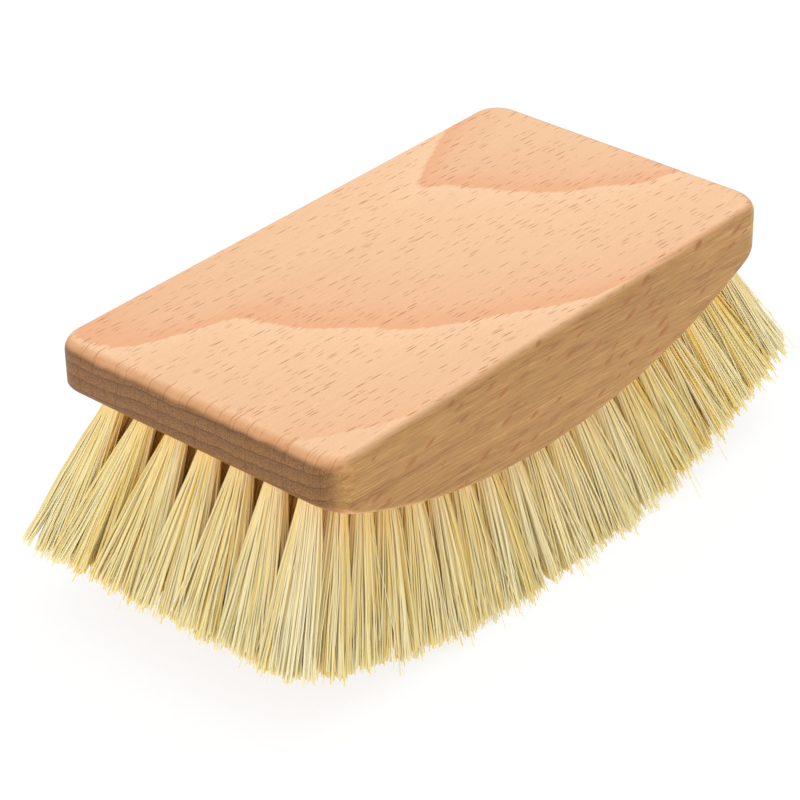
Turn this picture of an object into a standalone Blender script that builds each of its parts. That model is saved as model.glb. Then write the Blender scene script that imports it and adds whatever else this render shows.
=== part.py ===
"""Proofing basket brush: a beech block with an arched underside and nineteen rows of fibre tufts.

Metres, +Z up. The origin is the middle of the footprint, on the surface that the brush stands on.
X runs along the block and Y across it. The underside is an arc about a line along Y, the tuft
holes are drilled square to it, and the fibres are trimmed to a flatter arc.
"""

import math

import bmesh
import bpy
from mathutils import Matrix, Vector

# Wooden block
BLOCK_LENGTH = 0.128
BLOCK_WIDTH = 0.070
MIDDLE_THICKNESS = 0.0252
END_THICKNESS = 0.0099
CORNER_RADIUS = 0.0063
TOP_EDGE_RADIUS = 0.0028
LOWER_EDGE_RADIUS = 0.0015
CORNER_SEGMENTS = 5
TOP_EDGE_SEGMENTS = 3
LOWER_EDGE_SEGMENTS = 2

# Height of the block's top face over the surface that the brush stands on
STANDING_HEIGHT = 0.0535

# Tuft pattern: rows across the block, each with its tufts in a line
ROW_COUNT = 19
TUFTS_PER_ROW = 7
END_MARGIN = 0.0056
SIDE_MARGIN = 0.0107

# Tuft holes, and the root of a tuft in its hole
HOLE_DIAMETER = 0.0046
HOLE_DEPTH = 0.0075
HOLE_SIDES = 6

# Backing slice that joins the tufts of one row, and the gap between pieces that touch
SLICE_THICKNESS = 0.0015
SLICE_BORDER = 0.0003
CLEARANCE = 0.0003

# Strands: three-sided, three to a tuft, thicker towards the tip, and placed round the tuft's middle
STRAND_SIDES = 3
STRAND_TIP_RADIUS = 0.0010
STRAND_EMBED = 0.0009
STRAND_TIP_OFFSET_ALONG = 0.0030
STRAND_TIP_OFFSET_ACROSS = 0.0040
STRAND_PLACE_SHARES = ((0.0, 1.0), (-0.87, -0.5), (0.87, -0.5))
STRAND_ROOT_SHARE = 1 / 3

# Lean of the outermost tufts: along the block past square, and sideways at the middle and the end row
END_ROW_LEAN = math.radians(3.0)
SIDE_LEAN_MIDDLE = math.radians(20.5)
SIDE_LEAN_END = math.radians(12.0)

# Trim of the tips: a flatter arc, cut level where the brush stands
TRIM_RADIUS = 0.205
TIP_CUT = 0.0005

# How far a cutter runs past what it cuts
OVERRUN = 0.004

# Worked out from the sizes above
ARC_RISE = MIDDLE_THICKNESS - END_THICKNESS
ARC_RADIUS = (ARC_RISE ** 2 + (BLOCK_LENGTH / 2) ** 2) / (2 * ARC_RISE)
ARC_CENTRE_Z = STANDING_HEIGHT - MIDDLE_THICKNESS + ARC_RADIUS
END_ROW_ANGLE = math.asin((BLOCK_LENGTH / 2 - END_MARGIN) / ARC_RADIUS)
ROW_STEP = 2 * END_ROW_ANGLE / (ROW_COUNT - 1)
OUTER_TUFT_Y = BLOCK_WIDTH / 2 - SIDE_MARGIN
HOLE_RADIUS = HOLE_DIAMETER / 2
PLUG_RADIUS = HOLE_RADIUS - CLEARANCE / math.cos(math.pi / HOLE_SIDES)
SLICE_LENGTH = 2 * (OUTER_TUFT_Y + HOLE_RADIUS + SLICE_BORDER)
SLICE_WIDTH = 2 * (PLUG_RADIUS * math.cos(math.pi / HOLE_SIDES) + SLICE_BORDER)
STRAND_ROOT_RADIUS = PLUG_RADIUS * STRAND_ROOT_SHARE
STRAND_ROOT_OFFSET = PLUG_RADIUS - STRAND_ROOT_RADIUS
TRIM_CENTRE_Z = TRIM_RADIUS - TIP_CUT
MERGE_DISTANCE = CLEARANCE / 30

# Angles that tell a rim from a rounding, and a bend from a flat
RIM_ANGLE = math.radians(35)
FLAT_ANGLE = math.radians(0.1)

# Rounds of the sum that finds where a row meets the trim arc
REACH_ROUNDS = 12


def clear_scene():
    """Remove the objects of the open scene."""
    for old in list(bpy.data.objects):
        bpy.data.objects.remove(old, do_unlink=True)


def new_collection(name):
    """Make a collection under the scene's own."""
    collection = bpy.data.collections.new(name)
    bpy.context.scene.collection.children.link(collection)
    return collection


def new_material(name, colour, roughness):
    """Make a plain dielectric finish."""
    material = bpy.data.materials.new(name)
    material.use_nodes = True
    shader = material.node_tree.nodes["Principled BSDF"]
    shader.inputs["Base Color"].default_value = (*colour, 1.0)
    shader.inputs["Roughness"].default_value = roughness
    shader.inputs["Metallic"].default_value = 0.0
    return material


def new_object(name, bm, collection, parent, material=None):
    """Turn a bmesh into a named object of a collection, carried by a parent."""
    mesh = bpy.data.meshes.new(name)
    bm.to_mesh(mesh)
    bm.free()
    if material:
        mesh.materials.append(material)
    obj = bpy.data.objects.new(name, mesh)
    obj.parent = parent
    collection.objects.link(obj)
    return obj


def new_helper(name, bm, collection, parent):
    """Make a shape that only cuts or adds, which stays out of the model."""
    obj = new_object(name, bm, collection, parent)
    obj.hide_render = True
    obj.display_type = "WIRE"
    return obj


def add_boolean(obj, name, operation, other):
    """Cut an object with another, or join the two."""
    modifier = obj.modifiers.new(name, "BOOLEAN")
    modifier.operation = operation
    modifier.solver = "EXACT"
    modifier.object = other


def extruded_outline(name, points, width, collection, parent):
    """Make a helper from an outline in X and Z, as wide as given across Y."""
    curve = bpy.data.curves.new(name + "_outline", "CURVE")
    curve.dimensions = "2D"
    curve.fill_mode = "BOTH"
    curve.extrude = width / 2
    spline = curve.splines.new("POLY")
    spline.points.add(len(points) - 1)
    for point, (x, z) in zip(spline.points, points):
        point.co = (x, z, 0.0, 1.0)
    spline.use_cyclic_u = True
    outline = bpy.data.objects.new(name + "_outline", curve)
    outline.rotation_euler = (math.pi / 2, 0.0, 0.0)
    collection.objects.link(outline)
    bpy.context.view_layer.update()
    mesh = bpy.data.meshes.new_from_object(outline.evaluated_get(bpy.context.evaluated_depsgraph_get()))
    bm = bmesh.new()
    bm.from_mesh(mesh)
    bmesh.ops.transform(bm, matrix=outline.matrix_world, verts=bm.verts)
    bmesh.ops.remove_doubles(bm, verts=bm.verts, dist=MERGE_DISTANCE)
    bmesh.ops.dissolve_limit(bm, angle_limit=FLAT_ANGLE, verts=bm.verts, edges=bm.edges)
    bmesh.ops.recalc_face_normals(bm, faces=bm.faces)
    bpy.data.objects.remove(outline, do_unlink=True)
    bpy.data.meshes.remove(mesh)
    bpy.data.curves.remove(curve)
    return new_helper(name, bm, collection, parent)


def row_angles():
    """Angles about the underside's centre line at which the rows stand, from the -X end."""
    return [ROW_STEP * i - END_ROW_ANGLE for i in range(ROW_COUNT)]


def tuft_places():
    """Places of the tufts across a row."""
    step = 2 * OUTER_TUFT_Y / (TUFTS_PER_ROW - 1)
    return [step * j - OUTER_TUFT_Y for j in range(TUFTS_PER_ROW)]


def underside_point(angle):
    """Point of the underside's arc at an angle from straight down."""
    return Vector((ARC_RADIUS * math.sin(angle), 0.0, ARC_CENTRE_Z - ARC_RADIUS * math.cos(angle)))


def row_frame(angle):
    """Frame of a row: origin on the underside, Z into the wood and square to the arc."""
    return Matrix.Translation(underside_point(angle)) @ Matrix.Rotation(-angle, 4, "Y")


def trim_height(x):
    """Height of the trimmed tips, before the level cut."""
    return TRIM_CENTRE_Z - math.sqrt(TRIM_RADIUS ** 2 - x ** 2)


def row_reach(angle):
    """Length of a row's tufts from the underside to the trimmed tips, square to the arc."""
    root = underside_point(angle)
    reach = STANDING_HEIGHT - MIDDLE_THICKNESS
    for _ in range(REACH_ROUNDS):
        tip_x = root.x + reach * math.sin(angle)
        reach = (root.z - trim_height(tip_x)) / math.cos(angle)
    return reach


def add_box(bm, size, middle, frame):
    """Add a box to a bmesh, by its size and its middle in a frame."""
    placed = frame @ Matrix.Translation(middle) @ Matrix.Diagonal((*size, 1.0))
    bmesh.ops.create_cube(bm, size=1.0, matrix=placed)


def add_prism(bm, sides, radii, start, end, frame):
    """Add a straight or tapering prism to a bmesh, from a start to an end in a frame."""
    way = end - start
    turned = way.to_track_quat("Z", "X").to_matrix().to_4x4()
    bmesh.ops.create_cone(bm, cap_ends=True, segments=sides, radius1=radii[0], radius2=radii[1],
                          depth=way.length, matrix=frame @ Matrix.Translation((start + end) / 2) @ turned)


def sawn_block(collection, parent, material):
    """The block before its underside is shaped, with its four upright edges marked for rounding."""
    height = MIDDLE_THICKNESS + OVERRUN
    bm = bmesh.new()
    add_box(bm, (BLOCK_LENGTH, BLOCK_WIDTH, height), (0.0, 0.0, STANDING_HEIGHT - height / 2), Matrix())
    weight = bm.edges.layers.float.new("bevel_weight_edge")
    for edge in bm.edges:
        a, b = (vert.co for vert in edge.verts)
        edge[weight] = 1.0 if abs(a.z - b.z) > height / 2 else 0.0
    block = new_object("wood_block", bm, collection, parent, material)
    block.data.shade_smooth()
    return block


def underside_cutter(collection, parent):
    """Everything under the block: one flat of the arc for each row."""
    end = BLOCK_LENGTH / 2 + OVERRUN
    end_z = STANDING_HEIGHT - END_THICKNESS + OVERRUN * math.tan(END_ROW_ANGLE)
    bends = [underside_point(angle + ROW_STEP / 2) for angle in row_angles()[:-1]]
    points = [(-end, end_z)]
    points += [(p.x, p.z) for p in bends if abs(p.x) < BLOCK_LENGTH / 2 - CORNER_RADIUS]
    points += [(end, end_z), (end, 0.0), (-end, 0.0)]
    cutter = extruded_outline("underside_cutter", points, BLOCK_WIDTH + 2 * OVERRUN, collection, parent)
    cutter.data.shade_smooth()
    return cutter


def groove_cutter(collection, parent):
    """One box for each row, for the groove that its backing slice lies in."""
    bm = bmesh.new()
    depth = SLICE_THICKNESS + CLEARANCE + OVERRUN
    size = (SLICE_WIDTH + 2 * CLEARANCE, SLICE_LENGTH + 2 * CLEARANCE, depth)
    for angle in row_angles():
        add_box(bm, size, (0.0, 0.0, depth / 2 - OVERRUN), row_frame(angle))
    return new_helper("groove_cutter", bm, collection, parent)


def hole_cutter(collection, parent):
    """One drill shape for each tuft."""
    bm = bmesh.new()
    for angle in row_angles():
        for y in tuft_places():
            start = Vector((0.0, y, 0.0))
            end = Vector((0.0, y, HOLE_DEPTH))
            add_prism(bm, HOLE_SIDES, (HOLE_RADIUS, HOLE_RADIUS), start, end, row_frame(angle))
    return new_helper("hole_cutter", bm, collection, parent)


def add_bevel(obj, name, limit, width, segments):
    """Round the edges that a limit picks out."""
    modifier = obj.modifiers.new(name, "BEVEL")
    modifier.limit_method = limit
    modifier.angle_limit = RIM_ANGLE
    modifier.width = width
    modifier.segments = segments


def make_block(parts, cutters, parent, material):
    """The beech block with its grooves and blind holes."""
    block = sawn_block(parts, parent, material)
    add_bevel(block, "plan_corners", "WEIGHT", CORNER_RADIUS, CORNER_SEGMENTS)
    add_bevel(block, "top_rim", "ANGLE", TOP_EDGE_RADIUS, TOP_EDGE_SEGMENTS)
    add_boolean(block, "underside", "DIFFERENCE", underside_cutter(cutters, parent))
    add_bevel(block, "lower_rim", "ANGLE", LOWER_EDGE_RADIUS, LOWER_EDGE_SEGMENTS)
    add_boolean(block, "row_grooves", "DIFFERENCE", groove_cutter(cutters, parent))
    add_boolean(block, "tuft_holes", "DIFFERENCE", hole_cutter(cutters, parent))
    block.modifiers.new("even_shading", "WEIGHTED_NORMAL")


def trim_cutter(collection, parent):
    """Everything under the trimmed tips: one flat of the trim arc for each row, and level at the middle."""
    tips = [underside_point(angle).x + row_reach(angle) * math.sin(angle) for angle in row_angles()]
    bends = [(a + b) / 2 for a, b in zip(tips, tips[1:])]
    level = math.sqrt(TRIM_RADIUS ** 2 - TRIM_CENTRE_Z ** 2)
    lean = row_reach(END_ROW_ANGLE) * math.tan(END_ROW_LEAN)
    end = tips[-1] + lean + STRAND_TIP_OFFSET_ALONG + 2 * OVERRUN
    left = [-end] + [x for x in bends if x < -level]
    right = [x for x in bends if x > level] + [end]
    points = [(x, trim_height(x)) for x in left]
    points += [(-level, 0.0), (level, 0.0)]
    points += [(x, trim_height(x)) for x in right]
    points += [(end, -2 * OVERRUN), (-end, -2 * OVERRUN)]
    return extruded_outline("trim_cutter", points, 2 * BLOCK_WIDTH, collection, parent)


def tuft_lean(angle, y):
    """Slopes of a tuft in its row's frame, along the block and across it."""
    along = angle / END_ROW_ANGLE
    across = y / OUTER_TUFT_Y
    side = SIDE_LEAN_MIDDLE + (SIDE_LEAN_END - SIDE_LEAN_MIDDLE) * along ** 2
    return math.tan(END_ROW_LEAN * along), math.tan(side) * across


def strand_ends(angle, y, turn):
    """Start and end of each strand of a tuft in its row's frame; turn is 1 or -1 by the row."""
    reach = row_reach(angle)
    lean_x, lean_y = tuft_lean(angle, y)
    for share_x, share_y in STRAND_PLACE_SHARES:
        root = Vector((STRAND_ROOT_OFFSET * share_x, y + STRAND_ROOT_OFFSET * share_y * turn, 0.0))
        tip = Vector((lean_x * reach + STRAND_TIP_OFFSET_ALONG * share_x,
                      y + lean_y * reach + STRAND_TIP_OFFSET_ACROSS * share_y * turn, -reach))
        way = (tip - root) / reach
        yield root - way * STRAND_EMBED, tip + way * OVERRUN


def row_slice(name, collection, parent, material):
    """The slice of backing that joins one row."""
    bm = bmesh.new()
    add_box(bm, (SLICE_WIDTH, SLICE_LENGTH, SLICE_THICKNESS), (0.0, 0.0, SLICE_THICKNESS / 2), Matrix())
    return new_object(name, bm, collection, parent, material)


def row_plugs(name, collection, parent):
    """The folded roots of one row's tufts, which fill the holes."""
    bm = bmesh.new()
    for y in tuft_places():
        start = Vector((0.0, y, SLICE_THICKNESS / 2))
        end = Vector((0.0, y, HOLE_DEPTH - CLEARANCE))
        add_prism(bm, HOLE_SIDES, (PLUG_RADIUS, PLUG_RADIUS), start, end, Matrix())
    return new_helper(name + "_plugs", bm, collection, parent)


def row_strands(name, angle, turn, collection, parent):
    """The strands of one row, each a slender frustum, longer than the trim leaves it."""
    bm = bmesh.new()
    for y in tuft_places():
        for start, end in strand_ends(angle, y, turn):
            add_prism(bm, STRAND_SIDES, (STRAND_ROOT_RADIUS, STRAND_TIP_RADIUS), start, end, Matrix())
    return new_helper(name + "_strands", bm, collection, parent)


def make_row(number, angle, trim, parts, cutters, parent, material):
    """One row of tufts on its slice of backing."""
    name = "tuft_row_%02d" % number
    turn = 1 if number % 2 else -1
    row = row_slice(name, parts, parent, material)
    row.location = underside_point(angle)
    row.rotation_euler = (0.0, -angle, 0.0)
    add_boolean(row, "plugs", "UNION", row_plugs(name, cutters, row))
    add_boolean(row, "strands", "UNION", row_strands(name, angle, turn, cutters, row))
    add_boolean(row, "trim", "DIFFERENCE", trim)


def main():
    """Build the brush."""
    clear_scene()
    parts = new_collection("proofing_basket_brush")
    cutters = new_collection("cutters")
    footprint = bpy.data.objects.new("footprint", None)
    parts.objects.link(footprint)
    beech = new_material("beech", (0.80, 0.52, 0.30), 0.55)
    fibre = new_material("fibre", (0.76, 0.66, 0.36), 0.65)
    make_block(parts, cutters, footprint, beech)
    trim = trim_cutter(cutters, footprint)
    for number, angle in enumerate(row_angles(), 1):
        make_row(number, angle, trim, parts, cutters, footprint, fibre)


main()
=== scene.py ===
"""Proofing basket brush: the looks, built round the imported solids, in metres and in their frame.

The beech block is remade with smooth arcs and roundings, and every row of tufts is remade from
single curved plant fibres.
"""

import math

import bmesh
import bpy
import numpy as np
from mathutils import Matrix, Vector


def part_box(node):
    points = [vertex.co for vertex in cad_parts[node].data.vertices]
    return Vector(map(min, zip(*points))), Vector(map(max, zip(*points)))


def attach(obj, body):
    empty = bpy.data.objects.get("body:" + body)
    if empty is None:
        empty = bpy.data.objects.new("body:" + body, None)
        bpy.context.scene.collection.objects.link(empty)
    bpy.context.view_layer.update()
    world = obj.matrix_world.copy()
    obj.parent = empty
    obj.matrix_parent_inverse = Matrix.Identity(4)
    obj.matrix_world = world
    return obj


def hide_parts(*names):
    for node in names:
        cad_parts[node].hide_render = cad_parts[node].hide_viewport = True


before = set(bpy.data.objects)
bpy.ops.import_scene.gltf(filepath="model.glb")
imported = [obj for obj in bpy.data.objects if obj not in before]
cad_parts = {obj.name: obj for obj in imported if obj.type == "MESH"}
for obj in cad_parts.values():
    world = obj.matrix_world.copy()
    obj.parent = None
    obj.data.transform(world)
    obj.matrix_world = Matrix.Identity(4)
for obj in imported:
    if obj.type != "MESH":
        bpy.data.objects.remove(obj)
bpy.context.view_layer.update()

BLOCK_LOW, BLOCK_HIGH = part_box("wood_block")

# Block, as in the solids
BLOCK_LENGTH = BLOCK_HIGH.x - BLOCK_LOW.x
BLOCK_WIDTH = BLOCK_HIGH.y - BLOCK_LOW.y
TOP_Z = BLOCK_HIGH.z
MIDDLE_THICKNESS = 0.0252
END_THICKNESS = 0.0099
CORNER_RADIUS = 0.0063
TOP_EDGE_RADIUS = 0.0028
LOWER_EDGE_RADIUS = 0.0015

# Fineness of the block's mesh
CORNER_STEPS = 12
EDGE_STEPS = 8
SIDE_STEPS = 72
HALF_END_STEPS = 10
SHARP_ANGLE = math.radians(40)

# Tuft pattern, as in the solids
ROW_NODES = sorted(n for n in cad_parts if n.startswith("tuft_row_"))
TUFTS_PER_ROW = 7
END_MARGIN = 0.0056
SIDE_MARGIN = 0.0107
HOLE_RADIUS = 0.0023
HOLE_DEPTH = 0.0075
HOLE_STEPS = 20
END_ROW_LEAN = math.radians(3.0)
SIDE_LEAN_MIDDLE = math.radians(20.5)
SIDE_LEAN_END = math.radians(12.0)
TRIM_RADIUS = 0.205
TIP_CUT = 0.0005
REACH_ROUNDS = 12

# Fibres of a tuft: the outer tufts, which show, hold more
OUTER_FIBRES = 420
INNER_FIBRES = 150
FIBRE_SIDES = 4
FIBRE_RINGS = 6
FIBRE_RADIUS = 0.00016
FIBRE_RADIUS_SPREAD = 0.3
FIBRE_TIP_SHARE = 0.8
CORE_WIDTH_GAIN = 0.7
ROOT_RADIUS = 0.00205
ROOT_DEPTH = 0.0012
RIM_BIAS = 0.38
FLOOR_GAP = 0.00005
SEED = 20

# How the fibres of a tuft spread, lean and end
LEAN_SPREAD = 0.012
TIP_SPREAD = (0.0060, 0.0074)
OUTER_SPREAD_SHARE = 0.56
TIP_JITTER = 0.0009
CLUMPS_PER_TUFT = 11
CLUMP_PULL = 0.25
BOW_SHARE = 0.32
WAVE_SIZE = 0.00030
WAVE_SIZE_SHARES = (0.3, 1.5)
WAVE_COUNTS = (0.6, 1.6)
RAGGED_SIZE = 0.0007
SHORT_SIZE = 0.0003
SQUARE_TRIM_SHARE = 0.55

# Stray fibres
STRAY_SHARE = 0.010
STRAY_WAVE = 0.0016
STRAY_SPREAD = 0.0022
STRAY_LENGTH = 0.0018
STRAY_WIDTH_SHARE = 0.6

# Tones, from 0 for cream to 1 for amber, and the share of a fibre's own tone along it, the rest being
# painted amber shade at the roots and deep in the tufts
TONE_SHAPE = (1.2, 2.8)
TONE_LIMITS = (0.01, 0.99)
TUFT_WARMTH = 0.03
CLUMP_WARMTH = 0.10
# Painted light: how much paler the fibres of the end rows grow towards -Y
PAINTED_LIGHT_AT_END = 0.22
TONE_STEP_PER_SIDE = 0.004
SHELL_SHARE = 0.35
OUTWARD_MARGIN = 0.5
OUTER_TONE_START = 0.62
HIDDEN_TONE_END = 0.30
HIDDEN_POWER = 1.5

# Worked out from the sizes above
ARC_RISE = MIDDLE_THICKNESS - END_THICKNESS
ARC_RADIUS = (ARC_RISE ** 2 + (BLOCK_LENGTH / 2) ** 2) / (2 * ARC_RISE)
ARC_CENTRE_Z = TOP_Z - MIDDLE_THICKNESS + ARC_RADIUS
END_ROW_ANGLE = math.asin((BLOCK_LENGTH / 2 - END_MARGIN) / ARC_RADIUS)
ROW_STEP = 2 * END_ROW_ANGLE / (len(ROW_NODES) - 1)
OUTER_TUFT_Y = BLOCK_WIDTH / 2 - SIDE_MARGIN
TRIM_CENTRE_Z = TRIM_RADIUS - TIP_CUT

# Fibre colours, in screen values
FIBRE_COLOURS = ((0.0, (239, 230, 190)), (0.30, (238, 225, 168)), (0.55, (237, 216, 140)),
                 (0.78, (236, 205, 106)), (0.92, (234, 190, 80)), (0.985, (226, 168, 68)),
                 (1.0, (220, 206, 98)))
# Painted shade: amber that stands for the shade at the roots and between the fibres deep in the tufts
PAINTED_SHADE_COLOUR = (250, 190, 62)
PAINTED_SHADE_SHARE = 0.9
PAINTED_SHADE_FADE = (0.95, 0.1)
FIBRE_ROUGHNESS = 0.45
FIBRE_SPECULAR = 0.35

# Beech: its pattern is in millimetres from the middle of the top face, its colours are in screen values,
# and a mark whose half size is ANY goes right through the block
MILLIMETRES = 1000.0
ANY = 1000.0

# How squarely a face looks up, sideways or endways where a part of the pattern starts and is full
TOP_FACING = (0.80, 0.97)
SIDE_FACING = (0.35, 1.0)
UPRIGHT_FACING = (0.45, 0.05)
END_FACING = (0.38, 0.92)
FLECK_FACING = (0.55, 0.9)
RIM_SHADE_FACING = (0.05, 0.70)
RIM_SHADE_RISING = (0.05, 0.30)

# Growth rings end along two lines on the top face: (y, x) along each
FIRST_LINE = ((-35, 24), (-30, 8), (-23, -4), (-18.5, -11.5), (-13, -19), (-6, -24), (1, -30),
              (8, -33.5), (13.5, -35.5), (16.5, -42), (20, -51.5), (23, -57), (35, -60))
SECOND_LINE = ((-35, 98), (-20, 74), (-14, 62), (-11, 53.5), (-7, 49), (0, 40), (6, 35.5),
               (14, 31), (18, 29), (21.5, 25.5), (25, 29.5), (28, 35), (31, 41), (35, 50))
RINGS_AT_FIRST_LINE = 3.0
RING_LENGTH = 56.0
RING_DEPTH = 2.6
RING_SHIFT = (1.1, 1.1, 0.0)
END_RING_DROP = 1.3
RIPPLE = {"size": (40.0, 6.0, 12.0)}
RIPPLE_HEIGHT = 1.3
SWELL = {"size": (30.0, 14.0, 14.0), "detail": 1.0}
SWELL_HEIGHT = 0.5
FRAY = {"size": (7.0, 0.8, 0.8), "detail": 3.0}
FRAY_REACH = 4.5
LATE_WOOD_AFTER = (0.15, 0.0)
LATE_WOOD_BEFORE = (0.95, 1.0)

# Flat top: salmon where a ring begins, fading to pale where it ends
TOP_COLOURS = ((0.0, (240, 176, 131)), (0.05, (240, 178, 133)), (0.16, (241, 187, 143)),
               (0.40, (243, 194, 150)), (0.85, (247, 200, 156)), (0.985, (249, 205, 162)),
               (1.0, (243, 191, 146)))
WEAK_RINGS = (2.8, 2.4)
WEAK_RING_SHARE = 0.55
WEAK_RING_COLOUR = (243, 194, 150)

# Long sides: tan, partly their own colour and partly painted shade, with fine dark streaks that sink a
# little towards +X
SIDE_GRAIN_AND_SHADE_COLOURS = ((0.10, (116, 72, 30)), (0.38, (160, 115, 60)), (0.60, (177, 132, 72)),
                (0.90, (206, 159, 98)))
SIDE_TURN = (0.0, math.radians(-3), 0.0)
SIDE_LINES = {"size": (8.0, 0.34, 0.34), "detail": 3.0, "roughness": 0.65}
SIDE_LINE_GAIN = 1.2
SIDE_BANDS = {"size": (60.0, 2.4, 2.4)}
SIDE_BAND_GAIN = 0.6
SIDE_RING_LINE = (0.12, 0.0)
SIDE_RING_SHARE = 0.25
SIDE_RING_COLOUR = (160, 106, 62)
SIDE_PORES = {"cell": (5.0, 3.0, 0.75), "half_size": (1.8, 2.0, 0.10), "turn": SIDE_TURN}
SIDE_PORE_SHARES = (0.1, 0.55)
SIDE_PORE_COLOUR = (138, 92, 54)

# Flecks on the long sides: broad and sparse, lying aslant, and not the same on the far side
FLECKS = {"cell": (8.6, 1.0, 4.4), "half_size": (2.1, ANY, 0.66), "turn": (0.0, math.radians(19), 0.0),
          "looseness": 1.0}
FLECK_CHANCE = (0.15, 0.55)
FLECK_SHARE = 0.9
FLECK_COLOUR = (158, 98, 46)
FAR_SIDE_SHIFT = 300.0

# Ends: painted shade over the rounded rim, and below it the end grain, darker partly in its own colour and
# partly by painted shade
RIM_SHADE_SHARE = 0.8
RIM_SHADE_COLOUR = (202, 143, 93)
END_GRAIN_DEPTHS = (-0.5, -2.0)
END_GRAIN_AND_SHADE_COLOURS = ((0.1, (82, 49, 21)), (0.5, (120, 78, 36)), (0.9, (162, 115, 62)))
END_PORES = {"size": (1.2, 0.13, 0.13)}
END_PORE_GAIN = 2.4
END_RING_SPAN = (0.15, 0.9)
END_RING_SHADES = (1.08, 0.86)
LATE_WOOD_SHARE = 0.75
LATE_WOOD_COLOUR = (84, 50, 28)

# Rays: short dashes on the top, thin upright lines on the ends and ticks over the end's rounded rim
DASHES = {"cell": (3.8, 0.92, 14.0), "half_size": (1.7, 0.135, 6.5), "turn": (0.0, 0.0, math.radians(3))}
DASH_SHARES = (0.58, 0.88)
END_LINES = {"cell": (1.0, 4.2, 7.0), "half_size": (ANY, 0.11, 4.6)}
END_LINE_SHARES = (0.35, 0.65)
RIM_TICKS = {"cell": (1.0, 4.4, 1.0), "half_size": (ANY, 0.17, ANY)}
RIM_TICK_BEND = {"size": (2.0, 9.0, 2.0), "detail": 1.0}
RIM_TICK_BEND_REACH = 1.2
RIM_TICK_SHARE = 0.62
RIM_TICK_PLACES = (59.5, 61.0)
RIM_TICK_DEPTHS = (-3.6, -2.0)
RAY_COLOUR = (174, 106, 58)
END_RAY_COLOUR = (88, 54, 30)

# Marks in a loose grid: how far from the middle of its cell each may lie, and how its size and edge vary
LOOSENESS = 0.75
MARK_SIZES = (0.55, 1.30)
MARK_EDGE = (1.0, 0.4)

# Grain along the block, its finish and its relief, whose depth is in metres
MIDDLE_TONE = 0.5
FINE_GRAIN = {"size": (9.0, 0.2, 0.2), "detail": 3.0, "roughness": 0.6}
FINE_GRAIN_SHADE = 0.20
BROAD_GRAIN = {"size": (38.0, 1.3, 1.3)}
BROAD_GRAIN_SHADE = 0.10
DUST = {"size": (0.5, 0.2, 0.2), "detail": 1.0}
DUST_SHADE = 0.20
BEECH_ROUGHNESS = 0.50
GRAIN_ROUGHNESS = 0.25
RAY_ROUGHNESS = 0.15
BEECH_SPECULAR = 0.35
RELIEF_STRENGTH = 0.35
RELIEF_DEPTH = 0.00012
RAY_RELIEF = -0.6
GRAIN_RELIEF = 0.5
PORE_RELIEF = 0.9
LATE_WOOD_RELIEF = -0.8

# Camera, from the fit of the block's outline: angles in degrees, places in metres from the middle of the
# top face, and the sensor's width in millimetres
FRAME_PIXELS = 800
FOCAL_PIXELS = 2976.36
SENSOR_WIDTH = 36.0
CAMERA_AZIMUTH = -48.490
CAMERA_ELEVATION = 31.761
CAMERA_ROLL = -1.092
CAMERA_DISTANCE = 0.566081
CAMERA_RIGHT = -0.004095
CAMERA_UP = -0.025936
CAMERA_NEAREST = 0.01

# Light and floor: where no shadow falls, the floor's glow and the light on it come to FLOOR_WHITE
WHITE = (1.0, 1.0, 1.0, 1.0)
WORLD_LEVEL = 0.87
FLOOR_SIZE = 6.0
FLOOR_CELLS = 8
FLOOR_ROUGHNESS = 0.9
FLOOR_GREY = 0.9
FLOOR_GLOW = 0.60
FLOOR_WHITE = 1.02
FLOOR_SHADOW_SHARE = 0.22
LIGHT_ON_FLOOR = 0.9
LAMP_AIM = (0.0, 0.0, 0.03)
OVERHEAD = {"place": (0.30, -0.06, 0.52), "size": 0.45, "power": 0.45}
FILL = {"place": (-0.72, -0.04, 0.30), "size": 0.5, "power": 1.1}


# Node trees

def as_colour(value):
    """An output as it is, or a colour in screen values as the shader's linear one."""
    if isinstance(value, bpy.types.NodeSocket):
        return value
    shares = [c / 255 for c in value]
    linear = [c / 12.92 if c <= 0.04045 else ((c + 0.055) / 1.055) ** 2.4 for c in shares]
    return (*linear, 1.0)


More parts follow.
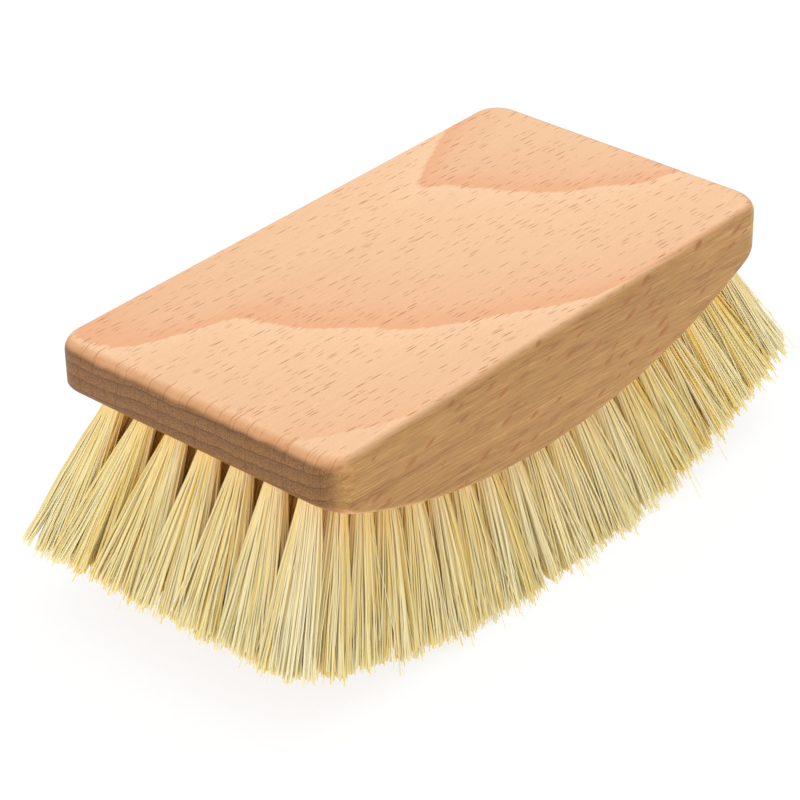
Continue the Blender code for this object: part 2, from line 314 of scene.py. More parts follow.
class Pattern:
    """Adds linked nodes to a material or a world, so that a pattern reads as a sum."""

    def __init__(self, owner):
        owner.use_nodes = True
        self.tree = owner.node_tree

    def add(self, kind, values=(), output=0, **settings):
        """Add a node; values feed its inputs in order or by name, and None leaves one as it is."""
        node = self.tree.nodes.new(kind)
        for name, value in settings.items():
            setattr(node, name, value)
        pairs = values.items() if isinstance(values, dict) else enumerate(values)
        for key, value in pairs:
            self.feed(node.inputs[key], value)
        return node.outputs[output]

    def feed(self, socket, value):
        """Link an output to an input, or set the input to a value."""
        if isinstance(value, bpy.types.NodeSocket):
            self.tree.links.new(value, socket)
        elif value is not None:
            socket.default_value = value

    def math(self, operation, a, b=None, c=None, clamp=False):
        return self.add("ShaderNodeMath", (a, b, c), operation=operation, use_clamp=clamp)

    def plus(self, first, *others):
        """The sum of all the values."""
        for other in others:
            first = self.math("ADD", first, other)
        return first

    def times(self, first, *others):
        """The product of all the values."""
        for other in others:
            first = self.math("MULTIPLY", first, other)
        return first

    def without(self, share):
        """One less a share."""
        return self.math("SUBTRACT", 1.0, share)

    def between(self, share, low, high):
        """The value that a share reaches from low to high."""
        return self.math("MULTIPLY_ADD", share, high - low, low)

    def vector(self, operation, a, b=None):
        return self.add("ShaderNodeVectorMath", (a, b), operation=operation)

    def length(self, a):
        return self.add("ShaderNodeVectorMath", (a,), output="Value", operation="LENGTH")

    def join(self, x, y, z):
        return self.add("ShaderNodeCombineXYZ", (x, y, z))

    def split(self, vector):
        node = self.tree.nodes.new("ShaderNodeSeparateXYZ")
        self.feed(node.inputs[0], vector)
        return tuple(node.outputs)

    def mix(self, share, a, b, blend="MIX"):
        """Mix two colours, each an output or screen values."""
        node = self.tree.nodes.new("ShaderNodeMix")
        node.data_type = "RGBA"
        node.blend_type = blend
        for key, value in (("Factor_Float", share), ("A_Color", as_colour(a)), ("B_Color", as_colour(b))):
            socket = next(s for s in node.inputs if s.identifier == key)
            self.feed(socket, value)
        return next(s for s in node.outputs if s.identifier == "Result_Color")

    def shade(self, colour, level):
        """A colour times a plain number."""
        return self.mix(1.0, colour, self.join(level, level, level), "MULTIPLY")

    def step(self, value, start, full):
        """A soft step of a value: 0 up to where it starts, and 1 from where it is full."""
        return self.add("ShaderNodeMapRange", {"Value": value, "From Min": start, "From Max": full},
                        interpolation_type="SMOOTHSTEP")

    def noise(self, place, size, detail=2.0, roughness=0.5):
        """Noise round zero, about -0.5 to 0.5, with spots of a size along each axis."""
        scaled = self.vector("DIVIDE", place, size)
        value = self.add("ShaderNodeTexNoise", {"Vector": scaled, "Scale": 1.0, "Detail": detail,
                                                "Roughness": roughness})
        return self.math("SUBTRACT", value, 0.5)

    def ramp(self, value, stops):
        """A colour ramp of stops: (place, colour in screen values)."""
        node = self.tree.nodes.new("ShaderNodeValToRGB")
        self.feed(node.inputs[0], value)
        elements = node.color_ramp.elements
        while len(elements) < len(stops):
            elements.new(0.5)
        for element, (place, colour) in zip(elements, stops):
            element.position = place
            element.color = as_colour(colour)
        return node.outputs[0]

    def curve(self, value, points):
        """A smooth line through points (value, result), in order of their values."""
        low, high = points[0][0], points[-1][0]
        results = [r for _, r in points]
        least, most = min(results), max(results)
        node = self.tree.nodes.new("ShaderNodeFloatCurve")
        share = self.math("DIVIDE", self.math("SUBTRACT", value, low), high - low, clamp=True)
        self.feed(node.inputs["Value"], share)
        line = node.mapping.curves[0]
        places = [((v - low) / (high - low), (r - least) / (most - least)) for v, r in points]
        while len(line.points) < len(places):
            line.points.new(0.5, 0.5)
        for point, place in zip(line.points, places):
            point.location = place
        node.mapping.update()
        return self.between(node.outputs[0], least, most)


def new_material(name, roughness, specular):
    """A material and its pattern and shader."""
    material = bpy.data.materials.new(name)
    pattern = Pattern(material)
    shader = pattern.tree.nodes["Principled BSDF"]
    shader.inputs["Roughness"].default_value = roughness
    shader.inputs["Specular IOR Level"].default_value = specular
    return material, pattern, shader


# Beech

def turned(p, place, turn):
    """Coordinates along axes that are turned by the three angles."""
    return p.add("ShaderNodeVectorRotate", {"Vector": place, "Rotation": turn}, rotation_type="EULER_XYZ")


def ellipsoids(p, place, cell, half_size, turn=(0.0, 0.0, 0.0), looseness=LOOSENESS):
    """One soft ellipsoid in each cell of a loose grid: (how deep inside, random number)."""
    scaled = p.vector("DIVIDE", turned(p, place, turn), cell)
    node = p.tree.nodes.new("ShaderNodeTexVoronoi")
    node.inputs["Scale"].default_value = 1.0
    node.inputs["Randomness"].default_value = looseness
    p.feed(node.inputs["Vector"], scaled)
    size_chance, chance, _ = p.split(node.outputs["Color"])
    away = p.vector("MULTIPLY", p.vector("SUBTRACT", scaled, node.outputs["Position"]), cell)
    reach = p.length(p.vector("DIVIDE", away, half_size))
    inside = p.step(p.math("DIVIDE", reach, p.between(size_chance, *MARK_SIZES)), *MARK_EDGE)
    return inside, chance


class Wood:
    """A point of the beech: its place, how its face looks, its growth ring and its grain."""

    def __init__(self, p):
        metres = p.add("ShaderNodeTexCoord", output="Object")
        from_top = p.vector("SUBTRACT", metres, (0.0, 0.0, TOP_Z))
        self.place = p.vector("MULTIPLY", from_top, (MILLIMETRES,) * 3)
        self.x, self.y, self.z = p.split(self.place)
        normal = p.add("ShaderNodeNewGeometry", output="Normal")
        self.face_x, self.face_y, self.face_z = (p.math("ABSOLUTE", n) for n in p.split(normal))
        self.end = p.step(self.face_x, *END_FACING)
        sideways = p.step(self.face_y, *SIDE_FACING)
        upright = p.step(self.face_z, *UPRIGHT_FACING)
        self.side = p.math("MAXIMUM", sideways, upright)
        self.ripple = p.noise(self.place, **RIPPLE)
        self.rings = growth_rings(p, self)
        self.ring = p.math("FRACT", self.rings)
        after_line = p.step(self.ring, *LATE_WOOD_AFTER)
        before_line = p.step(self.ring, *LATE_WOOD_BEFORE)
        self.late = p.math("MAXIMUM", after_line, before_line)
        below_rim = p.step(p.math("MULTIPLY_ADD", self.ripple, RIPPLE_HEIGHT, self.z), *END_GRAIN_DEPTHS)
        self.end_grain = p.times(self.end, below_rim)
        self.fine = p.noise(self.place, **FINE_GRAIN)
        self.pores = p.noise(self.place, **END_PORES)


def growth_rings(p, wood):
    """Count of the growth rings, whole where one ends."""
    x, y, z = p.split(p.vector("ADD", wood.place, RING_SHIFT))
    x = p.math("MULTIPLY_ADD", p.noise(wood.place, **FRAY), FRAY_REACH, x)
    first = p.curve(y, FIRST_LINE)
    second = p.curve(y, SECOND_LINE)
    past_first = p.math("SUBTRACT", x, first)
    past_second = p.math("SUBTRACT", x, second)
    before = p.math("DIVIDE", p.math("MINIMUM", past_first, 0.0), RING_LENGTH)
    between = p.math("DIVIDE", past_first, p.math("SUBTRACT", second, first), clamp=True)
    after = p.math("DIVIDE", p.math("MAXIMUM", past_second, 0.0), RING_LENGTH)
    rings = p.plus(before, between, after, RINGS_AT_FIRST_LINE)
    depth = p.math("MULTIPLY_ADD", p.noise(wood.place, **SWELL), SWELL_HEIGHT, z)
    depth = p.math("MULTIPLY_ADD", wood.ripple, RIPPLE_HEIGHT, depth)
    depth = p.math("MULTIPLY_ADD", wood.end, END_RING_DROP, depth)
    depth = p.times(depth, p.without(p.step(wood.face_z, *TOP_FACING)))
    return p.plus(rings, p.math("DIVIDE", depth, RING_DEPTH))


def top_colour(p, wood):
    """Colour of the flat top."""
    weak = p.times(p.step(wood.rings, *WEAK_RINGS), WEAK_RING_SHARE)
    return p.mix(weak, p.ramp(wood.ring, TOP_COLOURS), WEAK_RING_COLOUR)


def side_colour(p, wood):
    """Colour of the long sides: their own grain, darkened in part by painted shade."""
    sloping = turned(p, wood.place, SIDE_TURN)
    lines = p.math("MULTIPLY_ADD", p.noise(sloping, **SIDE_LINES), SIDE_LINE_GAIN, MIDDLE_TONE)
    bands = p.times(p.noise(sloping, **SIDE_BANDS), SIDE_BAND_GAIN)
    ring_line = p.times(p.step(wood.ring, *SIDE_RING_LINE), SIDE_RING_SHARE)
    colour = p.mix(ring_line, p.ramp(p.plus(lines, bands), SIDE_GRAIN_AND_SHADE_COLOURS), SIDE_RING_COLOUR)
    pores, chance = ellipsoids(p, wood.place, **SIDE_PORES)
    return p.mix(p.times(pores, p.between(chance, *SIDE_PORE_SHARES)), colour, SIDE_PORE_COLOUR)


def end_colour(p, wood):
    """Colour of the end grain, its own and partly painted shade: a fine stipple, with thin dark lines
    between the rings.
    """
    colour = p.ramp(p.math("MULTIPLY_ADD", wood.pores, END_PORE_GAIN, MIDDLE_TONE), END_GRAIN_AND_SHADE_COLOURS)
    colour = p.shade(colour, p.between(p.step(wood.ring, *END_RING_SPAN), *END_RING_SHADES))
    return p.mix(p.times(wood.late, LATE_WOOD_SHARE), colour, LATE_WOOD_COLOUR)


def ray_marks(p, wood):
    """Where the rays show, and how strongly."""
    dashes, chance = ellipsoids(p, wood.place, **DASHES)
    dashes = p.times(dashes, p.without(wood.side), p.between(chance, *DASH_SHARES), p.without(wood.end))
    lines, chance = ellipsoids(p, p.join(0.0, wood.y, wood.z), **END_LINES)
    lines = p.times(lines, wood.end, p.between(chance, *END_LINE_SHARES))
    bent_y = p.math("MULTIPLY_ADD", p.noise(wood.place, **RIM_TICK_BEND), RIM_TICK_BEND_REACH, wood.y)
    ticks, _ = ellipsoids(p, p.join(0.0, bent_y, 0.0), **RIM_TICKS)
    near_end = p.step(p.math("ABSOLUTE", wood.x), *RIM_TICK_PLACES)
    ticks = p.times(ticks, near_end, p.step(wood.z, *RIM_TICK_DEPTHS), RIM_TICK_SHARE)
    return p.math("MAXIMUM", dashes, p.math("MAXIMUM", lines, ticks))


def fleck_marks(p, wood):
    """Where the flecks show, and how strongly."""
    along = p.math("MULTIPLY_ADD", p.math("SIGN", wood.y), FAR_SIDE_SHIFT, wood.x)
    flecks, chance = ellipsoids(p, p.join(along, 0.0, wood.z), **FLECKS)
    return p.times(flecks, p.step(chance, *FLECK_CHANCE), p.step(wood.face_y, *FLECK_FACING), FLECK_SHARE)


def beech():
    """Beech, sawn flat to the top face: rings, rays, flecks and pores from one solid pattern."""
    material, p, shader = new_material("beech_sanded", BEECH_ROUGHNESS, BEECH_SPECULAR)
    wood = Wood(p)
    rays = ray_marks(p, wood)

    # The long sides' tan: their own colour and painted shade, blending in over the rounded rims
    colour = p.mix(wood.side, top_colour(p, wood), side_colour(p, wood))
    # Painted shade over the rounded rim at each end, between the lit top and the shaded end
    rim_shade = p.times(p.step(wood.face_x, *RIM_SHADE_FACING), p.step(wood.face_z, *RIM_SHADE_RISING))
    colour = p.mix(p.times(rim_shade, RIM_SHADE_SHARE), colour, RIM_SHADE_COLOUR)
    # End grain: its own darker colour together with painted shade
    colour = p.mix(wood.end_grain, colour, end_colour(p, wood))
    colour = p.mix(rays, colour, p.mix(wood.end_grain, RAY_COLOUR, END_RAY_COLOUR))
    colour = p.mix(fleck_marks(p, wood), colour, FLECK_COLOUR)
    dust = p.math("MULTIPLY_ADD", p.noise(wood.place, **DUST), DUST_SHADE, 1.0)
    broad = p.times(p.noise(wood.place, **BROAD_GRAIN), BROAD_GRAIN_SHADE)
    colour = p.shade(colour, p.plus(dust, p.times(wood.fine, FINE_GRAIN_SHADE), broad))
    p.feed(shader.inputs["Base Color"], colour)

    relief = p.plus(p.times(rays, RAY_RELIEF), p.times(wood.fine, GRAIN_RELIEF),
                    p.times(wood.pores, wood.end_grain, PORE_RELIEF),
                    p.times(wood.late, wood.end_grain, LATE_WOOD_RELIEF))
    bump = p.add("ShaderNodeBump", {"Strength": RELIEF_STRENGTH, "Distance": RELIEF_DEPTH,
                                    "Height": relief})
    p.feed(shader.inputs["Normal"], bump)
    rough = p.plus(BEECH_ROUGHNESS, p.times(rays, RAY_ROUGHNESS), p.times(wood.fine, GRAIN_ROUGHNESS))
    p.feed(shader.inputs["Roughness"], rough)
    return material


# Plant fibre

def fibre():
    """Plant fibre: each one's own tone, from cream to amber, read from its map, root to tip, mixed with
    painted amber shade at the roots and on fibres deep in the tufts.
    """
    material, p, shader = new_material("plant_fibre", FIBRE_ROUGHNESS, FIBRE_SPECULAR)
    tone, along, _ = p.split(p.add("ShaderNodeUVMap", uv_map="OFBake"))
    # Painted shade: amber where a fibre's map gives little of its own tone
    painted_shade = p.times(p.step(along, *PAINTED_SHADE_FADE), PAINTED_SHADE_SHARE)
    p.feed(shader.inputs["Base Color"], p.mix(painted_shade, p.ramp(tone, FIBRE_COLOURS), PAINTED_SHADE_COLOUR))
    return material


# Pieces

def mesh_of(name, bm):
    """A mesh made from a bmesh, which is freed."""
    mesh = bpy.data.meshes.new(name)
    bm.to_mesh(mesh)
    bm.free()
    return mesh


def new_piece(name, mesh, material):
    """Put a mesh in the scene as an object with one material."""
    mesh.materials.append(material)
    obj = bpy.data.objects.new(name, mesh)
    bpy.context.scene.collection.objects.link(obj)
    return obj


def arc_point(angle):
    """Point of the underside's arc at an angle from straight down."""
    return Vector((ARC_RADIUS * math.sin(angle), 0.0, ARC_CENTRE_Z - ARC_RADIUS * math.cos(angle)))


def row_frame(angle):
    """Frame of a row: origin on the underside, Z into the wood and square to the arc."""
    return Matrix.Translation(arc_point(angle)) @ Matrix.Rotation(-angle, 4, "Y")


def row_angles():
    """Angles of the rows from straight down, from the -X end."""
    return [ROW_STEP * i - END_ROW_ANGLE for i in range(len(ROW_NODES))]


def tuft_places():
    """Places of the tufts across a row."""
    return np.linspace(-OUTER_TUFT_Y, OUTER_TUFT_Y, TUFTS_PER_ROW)


# Block

def underside_height(x):
    """Height of the underside over the floor."""
    return ARC_CENTRE_Z - math.sqrt(ARC_RADIUS ** 2 - x ** 2)


def half_outline():
    """Half the block's plan, from the +X end to the -X end on the +Y side: (x, y, normal x, normal y)."""
    flat_x = BLOCK_LENGTH / 2 - CORNER_RADIUS
    flat_y = BLOCK_WIDTH / 2 - CORNER_RADIUS
    end = [(BLOCK_LENGTH / 2, flat_y * i / HALF_END_STEPS, 1.0, 0.0) for i in range(HALF_END_STEPS)]
    turns = [math.pi / 2 * i / CORNER_STEPS for i in range(CORNER_STEPS + 1)]
    corner = [(flat_x + CORNER_RADIUS * math.cos(t), flat_y + CORNER_RADIUS * math.sin(t),
               math.cos(t), math.sin(t)) for t in turns]
    side = [(flat_x * (1 - 2 * i / SIDE_STEPS), BLOCK_WIDTH / 2, 0.0, 1.0) for i in range(1, SIDE_STEPS)]
    far = [(-x, y, -nx, ny) for x, y, nx, ny in reversed(end + corner)]
    return end + corner + side + far


def block_rings(outline):
    """Loops of points round the block, from the flat top down over both rounded rims."""
    turns = [math.pi / 2 * i / EDGE_STEPS for i in range(EDGE_STEPS + 1)]
    for t in turns:
        inset = TOP_EDGE_RADIUS * (1 - math.sin(t))
        yield [(x - nx * inset, y - ny * inset, TOP_Z - TOP_EDGE_RADIUS * (1 - math.cos(t)))
               for x, y, nx, ny in outline]
    for t in reversed(turns):
        inset = LOWER_EDGE_RADIUS * (1 - math.sin(t))
        yield [(x - nx * inset, y - ny * inset,
                underside_height(x - nx * inset) + LOWER_EDGE_RADIUS * (1 - math.cos(t)))
               for x, y, nx, ny in outline]


def block_body():
    """The block without its holes, as a closed bmesh."""
    half = half_outline()
    outline = half + [(x, -y, nx, -ny) for x, y, nx, ny in reversed(half[1:-1])]
    bm = bmesh.new()
    rings = [[bm.verts.new(p) for p in ring] for ring in block_rings(outline)]
    count = len(outline)
    for upper, lower in zip(rings, rings[1:]):
        for i in range(count):
            j = (i + 1) % count
            bm.faces.new((upper[i], lower[i], lower[j], upper[j]))
    bm.faces.new(rings[0])

    # The underside: one face at each end and strips across between them
    low = rings[-1]
    last = HALF_END_STEPS
    bm.faces.new([low[last + 1]] + [low[i] for i in range(last, -last - 1, -1)] + [low[-last - 1]])
    for i in range(last + 1, len(half) - last - 2):
        bm.faces.new((low[i + 1], low[i], low[-i], low[-i - 1]))
    far = len(half) - 1
    bm.faces.new([low[i] for i in range(far + last + 1, far - last - 2, -1)])
    bmesh.ops.recalc_face_normals(bm, faces=bm.faces)
    return bm


def drill_shapes():
    """One round drill for each tuft, as a bmesh."""
    bm = bmesh.new()
    for angle in row_angles():
        for y in tuft_places():
            middle = row_frame(angle) @ Matrix.Translation((0.0, y, 0.0))
            bmesh.ops.create_cone(bm, cap_ends=True, segments=HOLE_STEPS, radius1=HOLE_RADIUS,
                                  radius2=HOLE_RADIUS, depth=2 * HOLE_DEPTH, matrix=middle)
    return bm


def make_block(material):
    """The beech block, drilled, with soft edges."""
    block = new_piece("beech_block", mesh_of("beech_block", block_body()), material)
    drills = new_piece("drills", mesh_of("drills", drill_shapes()), material)
    cut = block.modifiers.new("holes", "BOOLEAN")
    cut.operation = "DIFFERENCE"
    cut.solver = "EXACT"
    cut.object = drills
    bpy.context.view_layer.update()
    cut_mesh = bpy.data.meshes.new_from_object(block.evaluated_get(bpy.context.evaluated_depsgraph_get()))
    block.modifiers.clear()
    block.data = cut_mesh
    bpy.data.objects.remove(drills, do_unlink=True)
    block.data.shade_smooth()
    block.data.set_sharp_from_angle(angle=SHARP_ANGLE)
    weigh = block.modifiers.new("even_shading", "WEIGHTED_NORMAL")
    weigh.keep_sharp = True
    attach(block, "root")
    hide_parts("wood_block")


# Tufts

def trim_height(x):
    """Height of the trimmed tips over the floor."""
    return TRIM_CENTRE_Z - math.sqrt(TRIM_RADIUS ** 2 - x ** 2)


def row_reach(angle):
    """Length of a row's tufts from the underside to the trimmed tips, square to the arc."""
    root = arc_point(angle)
    reach = TOP_Z - MIDDLE_THICKNESS
    for _ in range(REACH_ROUNDS):
        tip_x = root.x + reach * math.sin(angle)
        reach = (root.z - trim_height(tip_x)) / math.cos(angle)
    return reach


def disc(rng, count, radius, bias=0.5):
    """Random points in a disc, as (count, 2): even at a bias of a half, and towards the rim below it."""
    turn = rng.uniform(0.0, 2 * math.pi, count)
    out = radius * rng.uniform(0.0, 1.0, count) ** bias
    return np.stack([out * np.cos(turn), out * np.sin(turn)], -1)


def tuft_lean(rng, angle, y):
    """Slopes of a tuft along and across the block, in its row's frame."""
    along_share = angle / END_ROW_ANGLE
    side_lean = SIDE_LEAN_MIDDLE + (SIDE_LEAN_END - SIDE_LEAN_MIDDLE) * along_share ** 2
    lean = np.array([math.tan(END_ROW_LEAN * along_share), math.tan(side_lean) * y / OUTER_TUFT_Y])
    return lean + rng.normal(0.0, LEAN_SPREAD, 2)


def tuft_tips(rng, root, outward):
    """How far the tips lie from the tuft's middle line, drawn into clumps: (tips, clump of each)."""
    spread = root / ROOT_RADIUS * TIP_SPREAD
    spread = np.where(outward > 0, spread * OUTER_SPREAD_SHARE, spread)
    spread += rng.normal(0.0, TIP_JITTER, spread.shape)
    clumps = disc(rng, CLUMPS_PER_TUFT, 1.0) * TIP_SPREAD
    nearest = np.argmin(((spread[:, None] - clumps[None]) ** 2).sum(-1), 1)
    return spread + CLUMP_PULL * (clumps[nearest] - spread), nearest


def fibre_waves(rng, stray, shares):
    """Sideways waves of the fibres at shares of their length, as (fibre, ring, 2)."""
    count = len(stray)
    size = np.where(stray, STRAY_WAVE, WAVE_SIZE * rng.uniform(*WAVE_SIZE_SHARES, count))
    turn = rng.uniform(0.0, 2 * math.pi, count)
    phase = rng.uniform(0.0, 2 * math.pi, count)[:, None]
    waves = rng.uniform(*WAVE_COUNTS, count)[:, None]
    way = np.stack([np.cos(turn), np.sin(turn)], -1)
    swing = np.sin(2 * math.pi * waves * shares + phase) - np.sin(phase)
    return (size[:, None] * shares.clip(0) * swing)[..., None] * way[:, None, :]


def fibre_lengths(rng, stray, lean, slope, reach):
    """How far each fibre reaches from the underside, square to it and a little ragged."""
    longer = rng.normal(0.0, RAGGED_SIZE, len(stray)) - rng.exponential(SHORT_SIZE, len(stray))
    longer += np.where(stray, STRAY_LENGTH, 0.0)

    # Cut square to the tuft, fibres are equally long; cut to the arc, those that lean more are longer
    square = 1.0 / np.sqrt(1.0 + (slope ** 2).sum(-1))
    middle = 1.0 / math.sqrt(1.0 + float((lean ** 2).sum()))
    return reach * (1.0 + SQUARE_TRIM_SHARE * (square / middle - 1.0)) + longer


def fibre_tones(rng, nearest, painted_light):
    """Tone of each fibre, which those of a clump share in part, made paler by painted light where asked."""
    warm = rng.normal(0.0, TUFT_WARMTH) + rng.normal(0.0, CLUMP_WARMTH, CLUMPS_PER_TUFT)[nearest]
    return np.clip(rng.beta(*TONE_SHAPE, len(nearest)) + warm - painted_light, *TONE_LIMITS)


def tone_spans(shell, outward):
    """Share of its own tone that each fibre has at its root and tip: less where other fibres hide it, the
    rest being painted amber shade.
    """
    looks_out = (outward.max(-1) + OUTWARD_MARGIN).clip(0, 1) * (np.abs(outward).max(-1) > 0)
    shown = SHELL_SHARE * shell + (1 - SHELL_SHARE) * looks_out
    end = HIDDEN_TONE_END + (1 - HIDDEN_TONE_END) * shown ** HIDDEN_POWER
    return np.stack([OUTER_TONE_START * shown, end], -1)


def tuft_fibres(rng, angle, y, at_end, at_side):
    """One tuft's fibres in the row's frame: (centre lines as (fibre, ring, 3), tones, spans, widths)."""
    reach = row_reach(angle)
    count = OUTER_FIBRES if at_end or at_side else INNER_FIBRES
    lean = tuft_lean(rng, angle, y)
    root = disc(rng, count, ROOT_RADIUS, RIM_BIAS)
    outward = root / ROOT_RADIUS * (math.copysign(at_end, angle), math.copysign(at_side, y))
    tip, nearest = tuft_tips(rng, root, outward)
    stray = rng.uniform(0.0, 1.0, count) < STRAY_SHARE
    tip += stray[:, None] * rng.normal(0.0, STRAY_SPREAD, (count, 2))

    shares = np.concatenate([[-ROOT_DEPTH / reach], np.linspace(0.0, 1.0, FIBRE_RINGS - 1)])[None]
    waves = fibre_waves(rng, stray, shares)
    bow = rng.uniform(-BOW_SHARE, BOW_SHARE, count)[:, None]
    slope = lean + (tip - root) / reach
    free = fibre_lengths(rng, stray, lean, slope, reach)[:, None]
    out = np.where(shares > 0, shares * (1 + bow * (shares - 1)), shares)
    across = root[:, None] + slope[:, None] * (out * free)[..., None] + waves
    lines = np.concatenate([across, -(shares * free)[..., None]], -1)
    lines[..., 1] += y

    # Painted light: end-row fibres paler towards -Y, where more light falls
    painted_light = PAINTED_LIGHT_AT_END * at_end * (1.0 - y / OUTER_TUFT_Y) / 2
    tones = fibre_tones(rng, nearest, painted_light)
    shell = np.linalg.norm(root, axis=-1) / ROOT_RADIUS
    widths = np.where(stray, STRAY_WIDTH_SHARE, 1.0 + CORE_WIDTH_GAIN * (1.0 - shell))
    return lines, tones, tone_spans(shell, outward), widths


def tube_points(lines, radii):
    """Rings of points round centre lines, as (fibre, ring, side, 3)."""
    ways = np.gradient(lines, axis=1)
    ways /= np.linalg.norm(ways, axis=-1, keepdims=True)
    across = np.cross(ways, (0.0, 1.0, 0.0))
    across /= np.linalg.norm(across, axis=-1, keepdims=True)
    other = np.cross(ways, across)
    turns = (2 * math.pi * np.arange(FIBRE_SIDES) / FIBRE_SIDES)[:, None]
    offsets = across[:, :, None] * np.cos(turns) + other[:, :, None] * np.sin(turns)
    widths = radii[:, None] * np.linspace(1.0, FIBRE_TIP_SHARE, FIBRE_RINGS)
    return lines[:, :, None] + offsets * widths[..., None, None]


def tube_faces():
    """One closed tube's faces: (point of each corner, number of corners of each face)."""
    ring = np.arange(FIBRE_RINGS - 1)[:, None] * FIBRE_SIDES
    side = np.arange(FIBRE_SIDES)[None]
    after = (side + 1) % FIBRE_SIDES
    quads = np.stack([ring + side, ring + after, ring + FIBRE_SIDES + after, ring + FIBRE_SIDES + side], -1)
    tip_cap = (FIBRE_RINGS - 1) * FIBRE_SIDES + side[0]
    corners = np.concatenate([quads.reshape(-1), side[0, ::-1], tip_cap])
    sizes = np.concatenate([np.full(ring.size * side.size, 4), np.full(2, FIBRE_SIDES)])
    return corners, sizes


def fibre_mesh(name, lines, tones, spans, radii):
    """Closed tubes along centre lines, mapped with each fibre's tone and that tone's share along it, the
    rest being painted shade.
    """
    count = len(lines)
    points = tube_points(lines, radii)
    one_corners, one_sizes = tube_faces()
    first_points = FIBRE_RINGS * FIBRE_SIDES * np.arange(count)[:, None]
    corners = (one_corners[None] + first_points).reshape(-1)
    starts = np.concatenate([[0], np.cumsum(np.tile(one_sizes, count))[:-1]])

    mesh = bpy.data.meshes.new(name)
    mesh.vertices.add(points.size // 3)
    mesh.vertices.foreach_set("co", points.astype(np.float32).ravel())
    mesh.loops.add(len(corners))
    mesh.loops.foreach_set("vertex_index", corners.astype(np.int32))
    mesh.polygons.add(len(starts))
    mesh.polygons.foreach_set("loop_start", starts.astype(np.int32))
    mesh.update(calc_edges=True)
    mesh.shade_flat()

    side_tones = tones[:, None, None] + (np.arange(FIBRE_SIDES) - 1) * TONE_STEP_PER_SIDE
    own_shares = spans[:, :1] + (spans[:, 1:] - spans[:, :1]) * np.linspace(0.0, 1.0, FIBRE_RINGS)
    map_u = np.broadcast_to(side_tones, points.shape[:3]).reshape(-1)
    map_v = np.broadcast_to(own_shares[..., None], points.shape[:3]).reshape(-1)
    layer = mesh.uv_layers.new(name="OFBake")
    layer.data.foreach_set("uv", np.stack([map_u[corners], map_v[corners]], -1).astype(np.float32).ravel())
    return mesh


def row_fibres(rng, angle, at_end):
    """All the fibres of a row, in the part's frame."""
    places = tuft_places()
    tufts = [tuft_fibres(rng, angle, y, at_end, y in (places[0], places[-1])) for y in places]
    lines, tones, spans, widths = (np.concatenate(each) for each in zip(*tufts))
    placing = np.array(row_frame(angle))
    lines = lines @ placing[:3, :3].T + placing[:3, 3]
    lines[..., 2] = np.maximum(lines[..., 2], FLOOR_GAP + FIBRE_RADIUS)
    radii = FIBRE_RADIUS * widths * (1 + FIBRE_RADIUS_SPREAD * rng.uniform(-1.0, 1.0, len(tones)))
    return lines, tones, spans, radii


def make_rows(material):
    """Every row of tufts, one piece a row, each standing for its solid."""
    rng = np.random.default_rng(SEED)
    angles = row_angles()
    for number, (angle, node) in enumerate(zip(angles, ROW_NODES), 1):
        name = "fibre_row_%02d" % number
        fibres = row_fibres(rng, angle, number in (1, len(angles)))
        row = new_piece(name, fibre_mesh(name, *fibres), material)
        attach(row, "root")
        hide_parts(node)


# Stage, light and camera

def seen_directly(p):
    """1 for rays that look straight at a thing or mirror it, and 0 for those that light others."""
    rays = p.tree.nodes.new("ShaderNodeLightPath")
    seen = p.math("ADD", rays.outputs["Is Camera Ray"], rays.outputs["Is Glossy Ray"])
    return p.math("ADD", seen, rays.outputs["Is Transmission Ray"], clamp=True)


def make_world():
    """An even pale surrounding, white where it is looked at."""
    world = bpy.data.worlds.new("studio")
    bpy.context.scene.world = world
    p = Pattern(world)
    shader = p.tree.nodes["Background"]
    shader.inputs["Color"].default_value = WHITE
    p.feed(shader.inputs["Strength"], p.between(seen_directly(p), WORLD_LEVEL, 1.0))


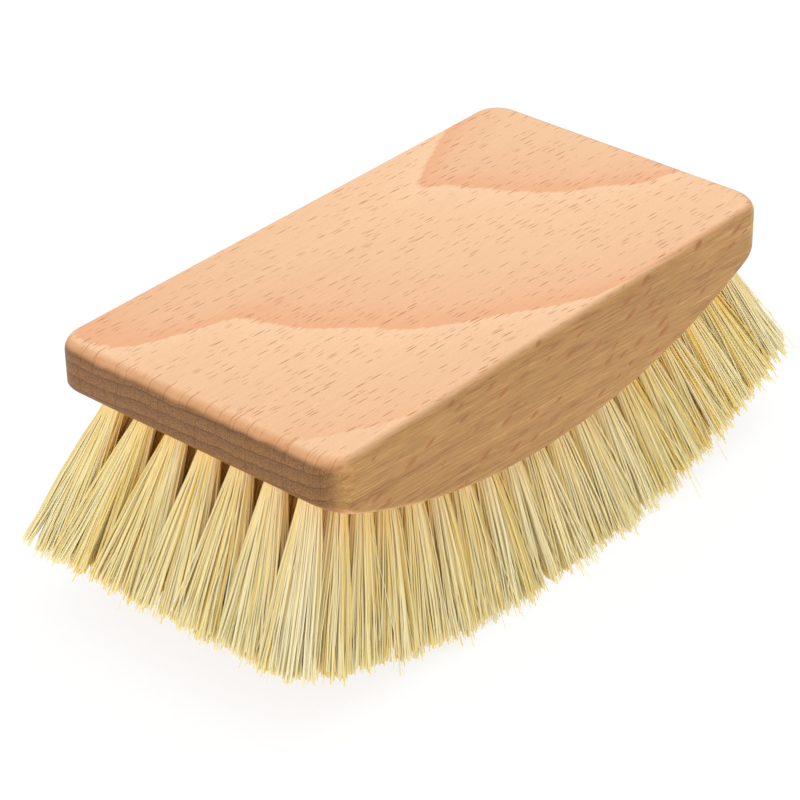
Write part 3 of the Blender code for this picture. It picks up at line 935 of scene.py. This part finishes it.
def make_floor():
    """A pale floor that looks white, and keeps a soft share of the shadow."""
    bm = bmesh.new()
    bmesh.ops.create_grid(bm, x_segments=FLOOR_CELLS, y_segments=FLOOR_CELLS, size=FLOOR_SIZE / 2)
    material, p, shader = new_material("pale_floor", FLOOR_ROUGHNESS, specular=0.0)
    seen = seen_directly(p)
    grey = p.between(seen, FLOOR_GREY, FLOOR_SHADOW_SHARE)
    p.feed(shader.inputs["Base Color"], p.join(grey, grey, grey))
    shader.inputs["Emission Color"].default_value = WHITE
    seen_glow = FLOOR_WHITE - LIGHT_ON_FLOOR * FLOOR_SHADOW_SHARE
    p.feed(shader.inputs["Emission Strength"], p.between(seen, FLOOR_GLOW, seen_glow))
    new_piece("floor", mesh_of("floor", bm), material)


def make_lamp(name, place, size, power):
    """A square soft light that looks at the brush."""
    light = bpy.data.lights.new(name, "AREA")
    light.shape = "SQUARE"
    light.size = size
    light.energy = power
    lamp = bpy.data.objects.new(name, light)
    lamp.location = place
    lamp.rotation_euler = (Vector(LAMP_AIM) - Vector(place)).to_track_quat("-Z", "Y").to_euler()
    bpy.context.scene.collection.objects.link(lamp)


def make_lamps():
    """One soft light over the brush, and one that fills the shadows at its -X end."""
    make_lamp("overhead", **OVERHEAD)
    make_lamp("fill", **FILL)


def make_camera():
    """The camera at the photograph's place."""
    turn, rise, roll = (math.radians(a) for a in (CAMERA_AZIMUTH, CAMERA_ELEVATION, CAMERA_ROLL))
    back = Vector((math.sin(turn) * math.cos(rise), -math.cos(turn) * math.cos(rise), math.sin(rise)))
    level = Vector((math.cos(turn), math.sin(turn), 0.0))
    upright = back.cross(level)
    right = level * math.cos(roll) + upright * math.sin(roll)
    up = upright * math.cos(roll) - level * math.sin(roll)
    data = bpy.data.cameras.new("camera")
    data.sensor_width = SENSOR_WIDTH
    data.lens = FOCAL_PIXELS / FRAME_PIXELS * SENSOR_WIDTH
    data.clip_start = CAMERA_NEAREST
    camera = bpy.data.objects.new("camera", data)
    place = Vector((0.0, 0.0, TOP_Z)) + back * CAMERA_DISTANCE + right * CAMERA_RIGHT + up * CAMERA_UP
    axes = Matrix((right, up, back)).transposed().to_4x4()
    camera.matrix_world = Matrix.Translation(place) @ axes
    bpy.context.scene.collection.objects.link(camera)
    bpy.context.scene.camera = camera


make_camera()
make_block(beech())
make_rows(fibre())
make_world()
make_floor()
make_lamps()
bpy.context.scene.view_settings.view_transform = "Standard"
